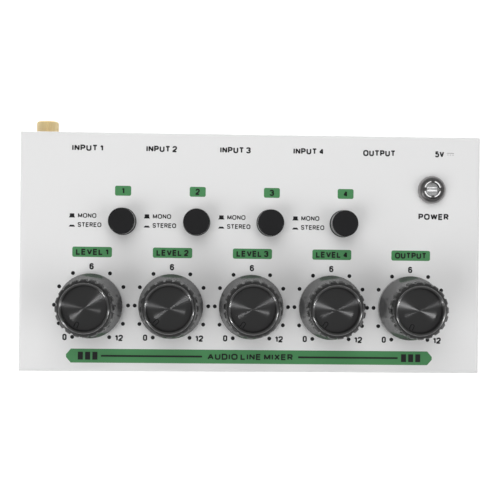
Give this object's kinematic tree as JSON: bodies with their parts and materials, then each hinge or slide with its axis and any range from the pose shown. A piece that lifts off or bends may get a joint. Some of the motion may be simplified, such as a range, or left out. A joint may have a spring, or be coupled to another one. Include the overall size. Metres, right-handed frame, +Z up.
{
  "type": "mixing console",
  "caption": "Small desktop audio line mixer: white folded steel case, rotary level knobs, round mono/stereo push buttons, power lamp, rear jacks and a gold earth terminal.",
  "frame": {"origin": "centre of the whole outline in plan, on the surface that the feet stand on", "axes": "+Z up out of the panel, +Y to the rear where the sockets are, +X to the user's right along the panel's long side"},
  "size_m": [0.147, 0.081, 0.05],
  "materials": {
    "white_paint": "smooth satin white powder coat with printed legends",
    "zinc_plate": "bright zinc-plated sheet",
    "foot_rubber": "matte black",
    "zinc_steel": "zinc plated",
    "board_laminate": "green solder mask on glass laminate",
    "brass": "turned",
    "knob_plastic": "glossy black moulding",
    "spun_black_disc": "black anodised with a spun radial grain",
    "pot_steel": "plated",
    "button_plastic": "glossy black",
    "switch_plastic": "moulded black",
    "stem_plastic": "moulded natural white",
    "bezel_metal": "dark polished metal",
    "clear_lens": "water-clear epoxy",
    "socket_plastic": "moulded black",
    "contact_metal": "tinned spring metal",
    "gold_plate": "polished gold plate",
    "wire_sleeve": "green insulated wire",
    "chip_plastic": "moulded epoxy",
    "capacitor_sleeve": "shrink sleeve"
  },
  "bodies": {
    "case": {"housing_cover": "white_paint", "bottom_plate": "zinc_plate", "rubber_feet": "foot_rubber", "plate_screws": "zinc_steel", "main_board": "board_laminate", "board_standoffs": "brass", "board_screws": "zinc_steel", "pot_washers": "zinc_steel", "pot_nuts": "zinc_steel", "led_bezel": "bezel_metal", "led_bezel_nut": "bezel_metal", "power_led": "clear_lens", "output_jack": "socket_plastic", "jack_contacts": "contact_metal", "power_socket": "socket_plastic", "power_pin": "contact_metal", "ground_post": "gold_plate", "ground_lug": "contact_metal", "ground_inner_nut": "zinc_steel", "ground_wire": "wire_sleeve", "amplifier_chips": "chip_plastic", "capacitors": "capacitor_sleeve", "pot_body_1": "pot_steel", "pot_body_2": "pot_steel", "pot_body_3": "pot_steel", "pot_body_4": "pot_steel", "pot_body_5": "pot_steel", "switch_body_1": "switch_plastic", "switch_body_2": "switch_plastic", "switch_body_3": "switch_plastic", "switch_body_4": "switch_plastic", "input_jack_1": "socket_plastic", "input_jack_2": "socket_plastic", "input_jack_3": "socket_plastic", "input_jack_4": "socket_plastic"},
    "level_1_knob": {"knob_1": "knob_plastic", "knob_disc_1": "spun_black_disc", "pot_shaft_1": "pot_steel"},
    "level_2_knob": {"knob_2": "knob_plastic", "knob_disc_2": "spun_black_disc", "pot_shaft_2": "pot_steel"},
    "level_3_knob": {"knob_3": "knob_plastic", "knob_disc_3": "spun_black_disc", "pot_shaft_3": "pot_steel"},
    "level_4_knob": {"knob_4": "knob_plastic", "knob_disc_4": "spun_black_disc", "pot_shaft_4": "pot_steel"},
    "output_level_knob": {"knob_5": "knob_plastic", "knob_disc_5": "spun_black_disc", "pot_shaft_5": "pot_steel"},
    "mode_button_1": {"button_cap_1": "button_plastic", "switch_plunger_1": "stem_plastic"},
    "mode_button_2": {"button_cap_2": "button_plastic", "switch_plunger_2": "stem_plastic"},
    "mode_button_3": {"button_cap_3": "button_plastic", "switch_plunger_3": "stem_plastic"},
    "mode_button_4": {"button_cap_4": "button_plastic", "switch_plunger_4": "stem_plastic"},
    "terminal_washer": {"ground_washer": "gold_plate"},
    "terminal_nut": {"ground_thumb_nut": "gold_plate"}
  },
  "joints": [
    {"name": "level_1_turn", "type": "hinge", "parent": "case", "child": "level_1_knob", "pos_m": [-0.0508, -0.0195, 0.032], "axis": [0, 0, -1], "range_deg": [0, 300]},
    {"name": "level_2_turn", "type": "hinge", "parent": "case", "child": "level_2_knob", "pos_m": [-0.0254, -0.0195, 0.032], "axis": [0, 0, -1], "range_deg": [-19, 281]},
    {"name": "level_3_turn", "type": "hinge", "parent": "case", "child": "level_3_knob", "pos_m": [0, -0.0195, 0.032], "axis": [0, 0, -1], "range_deg": [-8, 292]},
    {"name": "level_4_turn", "type": "hinge", "parent": "case", "child": "level_4_knob", "pos_m": [0.0254, -0.0195, 0.032], "axis": [0, 0, -1], "range_deg": [-12, 288]},
    {"name": "output_level_turn", "type": "hinge", "parent": "case", "child": "output_level_knob", "pos_m": [0.0508, -0.0195, 0.032], "axis": [0, 0, -1], "range_deg": [0, 300]},
    {"name": "mode_button_1_press", "type": "slide", "parent": "case", "child": "mode_button_1", "axis": [0, 0, -1], "range_m": [0, 0.0022], "stiffness_N_per_m": 600, "springref_m": -0.0015},
    {"name": "mode_button_2_press", "type": "slide", "parent": "case", "child": "mode_button_2", "axis": [0, 0, -1], "range_m": [0, 0.0022], "stiffness_N_per_m": 600, "springref_m": -0.0015},
    {"name": "mode_button_3_press", "type": "slide", "parent": "case", "child": "mode_button_3", "axis": [0, 0, -1], "range_m": [0, 0.0022], "stiffness_N_per_m": 600, "springref_m": -0.0015},
    {"name": "mode_button_4_press", "type": "slide", "parent": "case", "child": "mode_button_4", "axis": [0, 0, -1], "range_m": [0, 0.0022], "stiffness_N_per_m": 600, "springref_m": -0.0015},
    {"name": "terminal_washer_slide", "type": "slide", "parent": "case", "child": "terminal_washer", "axis": [0, 1, 0], "range_m": [0, 0.00211]},
    {"name": "terminal_nut_turn", "type": "hinge", "parent": "terminal_washer", "child": "terminal_nut", "pos_m": [-0.0673, 0.0355, 0.016], "axis": [0, 1, 0], "range_deg": [0, 1080]}
  ],
  "couplings": [
    {"joint": "terminal_washer_slide", "follows": "terminal_nut_turn", "m_per_rad": 0.00011141}
  ]
}
